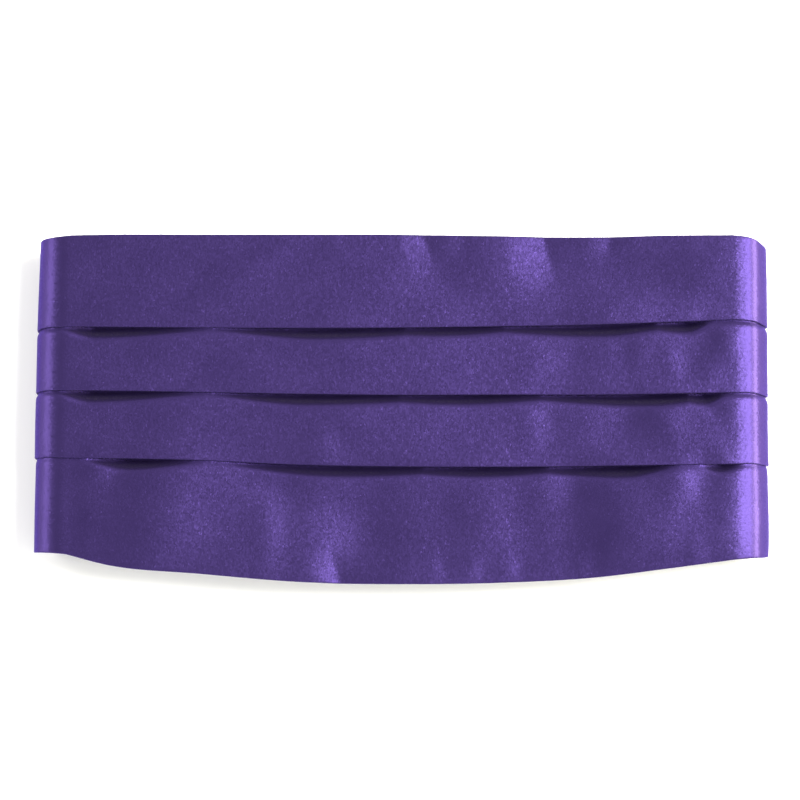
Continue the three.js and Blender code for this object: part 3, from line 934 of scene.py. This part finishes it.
def float_turns(tree, cloth):
    """How each of the satin's floats is turned: a random direction for each, and a few that
    are turned more and glint."""
    link = tree.links.new
    leaned = node(tree, "ShaderNodeMapping")
    leaned.inputs["Rotation"].default_value = (0, 0, FLOAT_LEAN)
    leaned.inputs["Scale"].default_value = FLOAT_SHAPE
    link(cloth.outputs["UV"], leaned.inputs["Vector"])
    floats = node(tree, "ShaderNodeTexVoronoi", Scale=FLOAT_SCALE)
    link(leaned.outputs["Vector"], floats.inputs["Vector"])
    centred = node(tree, "ShaderNodeVectorMath", operation="SUBTRACT")
    centred.inputs[1].default_value = (0.5, 0.5, 0.5)
    link(floats.outputs["Color"], centred.inputs[0])
    chance = node(tree, "ShaderNodeTexWhiteNoise")
    link(floats.outputs["Position"], chance.inputs["Vector"])
    few = node(tree, "ShaderNodeMath", operation="POWER")
    few.inputs[1].default_value = FLOAT_RARITY
    link(chance.outputs["Value"], few.inputs[0])
    amount = node(tree, "ShaderNodeMath", operation="MULTIPLY_ADD")
    amount.inputs[1].default_value = FLOAT_GLINT
    amount.inputs[2].default_value = FLOAT_TURN
    link(few.outputs["Value"], amount.inputs[0])
    turns = node(tree, "ShaderNodeVectorMath", operation="SCALE")
    link(centred.outputs["Vector"], turns.inputs[0])
    link(amount.outputs["Value"], turns.inputs["Scale"])
    return turns.outputs["Vector"]


def turned_normal(tree, turns):
    """The surface's own normal, turned by a vector."""
    surface = node(tree, "ShaderNodeNewGeometry")
    added = node(tree, "ShaderNodeVectorMath", operation="ADD")
    tree.links.new(surface.outputs["Normal"], added.inputs[0])
    tree.links.new(turns, added.inputs[1])
    normal = node(tree, "ShaderNodeVectorMath", operation="NORMALIZE")
    tree.links.new(added.outputs["Vector"], normal.inputs[0])
    return normal.outputs["Vector"]


def satin_material():
    """Deep purple satin: floats that shine mostly from the thread, each turned a little its
    own way, and slight colour shifts."""
    material, tree, shader = new_material("satin")
    link = tree.links.new
    cloth = node(tree, "ShaderNodeUVMap", uv_map="cloth")
    link(satin_colours(tree, cloth), shader.inputs["Base Color"])
    link(turned_normal(tree, float_turns(tree, cloth)), shader.inputs["Normal"])
    tangent = node(tree, "ShaderNodeTangent", direction_type="UV_MAP", uv_map="cloth")
    link(tangent.outputs["Tangent"], shader.inputs["Tangent"])
    shader.inputs["Roughness"].default_value = 0.44
    shader.inputs["Metallic"].default_value = 0.8
    shader.inputs["IOR"].default_value = 1.57
    shader.inputs["Specular IOR Level"].default_value = 1.0
    shader.inputs["Specular Tint"].default_value = (0.42, 0.275, 1.0, 1)
    shader.inputs["Anisotropic"].default_value = 0.3
    shader.inputs["Anisotropic Rotation"].default_value = 0.25
    shader.inputs["Sheen Weight"].default_value = 0.1
    shader.inputs["Sheen Roughness"].default_value = 0.35
    shader.inputs["Sheen Tint"].default_value = (0.8, 0.7, 1.0, 1)
    return material


def elastic_material():
    """Ribbed elastic webbing: dark violet yarn with fine crosswise picks."""
    material, tree, shader = new_material("elastic")
    link = tree.links.new
    cloth = node(tree, "ShaderNodeUVMap", uv_map="cloth")
    picks = node(tree, "ShaderNodeTexWave", Scale=420.0, Distortion=0.6, Detail=1.0)
    link(cloth.outputs["UV"], picks.inputs["Vector"])
    fuzz = node(tree, "ShaderNodeTexNoise", Scale=1500.0, Detail=2.0)
    link(cloth.outputs["UV"], fuzz.inputs["Vector"])
    heights = node(tree, "ShaderNodeMath", operation="ADD")
    link(picks.outputs["Fac"], heights.inputs[0])
    link(fuzz.outputs["Fac"], heights.inputs[1])
    bump = node(tree, "ShaderNodeBump", Strength=0.8, Distance=0.00012)
    link(heights.outputs["Value"], bump.inputs["Height"])
    link(bump.outputs["Normal"], shader.inputs["Normal"])
    colours = node(tree, "ShaderNodeValToRGB")
    colours.color_ramp.elements[0].color = (0.010, 0.006, 0.022, 1)
    colours.color_ramp.elements[1].color = (0.030, 0.020, 0.062, 1)
    link(picks.outputs["Fac"], colours.inputs["Fac"])
    link(colours.outputs["Color"], shader.inputs["Base Color"])
    shader.inputs["Roughness"].default_value = 0.8
    shader.inputs["Sheen Weight"].default_value = 0.3
    shader.inputs["Sheen Roughness"].default_value = 0.5
    return material


def steel_material():
    """Brushed steel with fine lengthwise scratches."""
    material, tree, shader = new_material("steel")
    link = tree.links.new
    place = node(tree, "ShaderNodeTexCoord")
    stretched = node(tree, "ShaderNodeMapping")
    stretched.inputs["Scale"].default_value = (60, 3500, 3500)
    link(place.outputs["Object"], stretched.inputs["Vector"])
    brushing = node(tree, "ShaderNodeTexNoise", Scale=1.0, Detail=3.0)
    link(stretched.outputs["Vector"], brushing.inputs["Vector"])
    gloss = node(tree, "ShaderNodeMapRange")
    gloss.inputs["To Min"].default_value = 0.22
    gloss.inputs["To Max"].default_value = 0.42
    link(brushing.outputs["Fac"], gloss.inputs["Value"])
    link(gloss.outputs["Result"], shader.inputs["Roughness"])
    bump = node(tree, "ShaderNodeBump", Strength=0.3, Distance=0.00002)
    link(brushing.outputs["Fac"], bump.inputs["Height"])
    link(bump.outputs["Normal"], shader.inputs["Normal"])
    shader.inputs["Base Color"].default_value = (0.62, 0.61, 0.60, 1)
    shader.inputs["Metallic"].default_value = 1.0
    return material


def thread_material():
    """The stitching's thread, a shade deeper than the satin."""
    material, tree, shader = new_material("thread")
    link = tree.links.new
    place = node(tree, "ShaderNodeTexCoord")
    twist = node(tree, "ShaderNodeTexWave", Scale=700.0, bands_direction="DIAGONAL")
    link(place.outputs["Object"], twist.inputs["Vector"])
    colours = node(tree, "ShaderNodeValToRGB")
    colours.color_ramp.elements[0].color = (0.016, 0.008, 0.055, 1)
    colours.color_ramp.elements[1].color = (0.040, 0.022, 0.110, 1)
    link(twist.outputs["Fac"], colours.inputs["Fac"])
    link(colours.outputs["Color"], shader.inputs["Base Color"])
    shader.inputs["Roughness"].default_value = 0.5
    return material


def floor():
    """The pale, faintly lit surface that it lies on."""
    bpy.ops.mesh.primitive_plane_add(size=FLOOR_SIZE)
    plane = bpy.context.object
    plane.name = "floor"
    material, _, shader = new_material("pale_floor")
    shader.inputs["Base Color"].default_value = FLOOR_COLOUR
    shader.inputs["Roughness"].default_value = 0.7
    shader.inputs["Specular IOR Level"].default_value = 0.2
    shader.inputs["Emission Color"].default_value = (1, 1, 1, 1)
    shader.inputs["Emission Strength"].default_value = FLOOR_GLOW
    plane.data.materials.append(material)


def soft_light(name, size, power, azimuth, elevation, distance, colour):
    """A square soft light aimed at the middle of the front."""
    data = bpy.data.lights.new(name, "AREA")
    data.shape = "SQUARE"
    data.size = size
    data.energy = power
    data.color = colour
    lamp = bpy.data.objects.new(name, data)
    bpy.context.scene.collection.objects.link(lamp)
    turn, rise = math.radians(azimuth), math.radians(elevation)
    direction = Vector(
        (math.cos(rise) * math.cos(turn), math.cos(rise) * math.sin(turn), math.sin(rise))
    )
    lamp.location = direction * distance
    lamp.rotation_euler = direction.to_track_quat("Z", "Y").to_euler()


def studio_world():
    """A bright white studio, dimmer overhead and brighter on the lower hem's side."""
    world = bpy.data.worlds.new("studio")
    world.use_nodes = True
    tree = world.node_tree
    link = tree.links.new
    place = node(tree, "ShaderNodeTexCoord")
    split = node(tree, "ShaderNodeSeparateXYZ")
    link(place.outputs["Generated"], split.inputs["Vector"])
    overhead = node(tree, "ShaderNodeMath", operation="POWER")
    overhead.inputs[1].default_value = WORLD_FALL
    link(split.outputs["Z"], overhead.inputs[0])
    dimming = node(tree, "ShaderNodeMath", operation="MULTIPLY_ADD")
    dimming.inputs[1].default_value = WORLD_OVERHEAD - WORLD_ROUND
    dimming.inputs[2].default_value = WORLD_ROUND
    link(overhead.outputs["Value"], dimming.inputs[0])
    side = node(tree, "ShaderNodeVectorMath", operation="DOT_PRODUCT")
    side.inputs[1].default_value = WORLD_SIDE
    link(place.outputs["Generated"], side.inputs[0])
    total = node(tree, "ShaderNodeMath", operation="ADD")
    link(dimming.outputs["Value"], total.inputs[0])
    link(side.outputs["Value"], total.inputs[1])
    link(total.outputs["Value"], tree.nodes["Background"].inputs["Strength"])
    tree.nodes["Background"].inputs["Color"].default_value = (1, 1, 1, 1)
    bpy.context.scene.world = world


def lighting():
    """The surroundings, the lamps and a plain way of showing their light."""
    studio_world()
    for light in LIGHTS:
        soft_light(*light)
    bpy.context.scene.view_settings.view_transform = "Standard"


camera()
path = stations()
satin = satin_material()
for number in range(1, len(LINES)):
    pleat(number, path, satin)
elastic = elastic_material()
thread = thread_material()
for name, side in (("left", 1), ("right", -1)):
    tab(f"{name}_end_tab", side, satin)
    tab_stitches(f"{name}_tab_stitching", side, thread)
    strap(f"{name}_strap", side, elastic)
clasp(steel_material())
floor()
lighting()
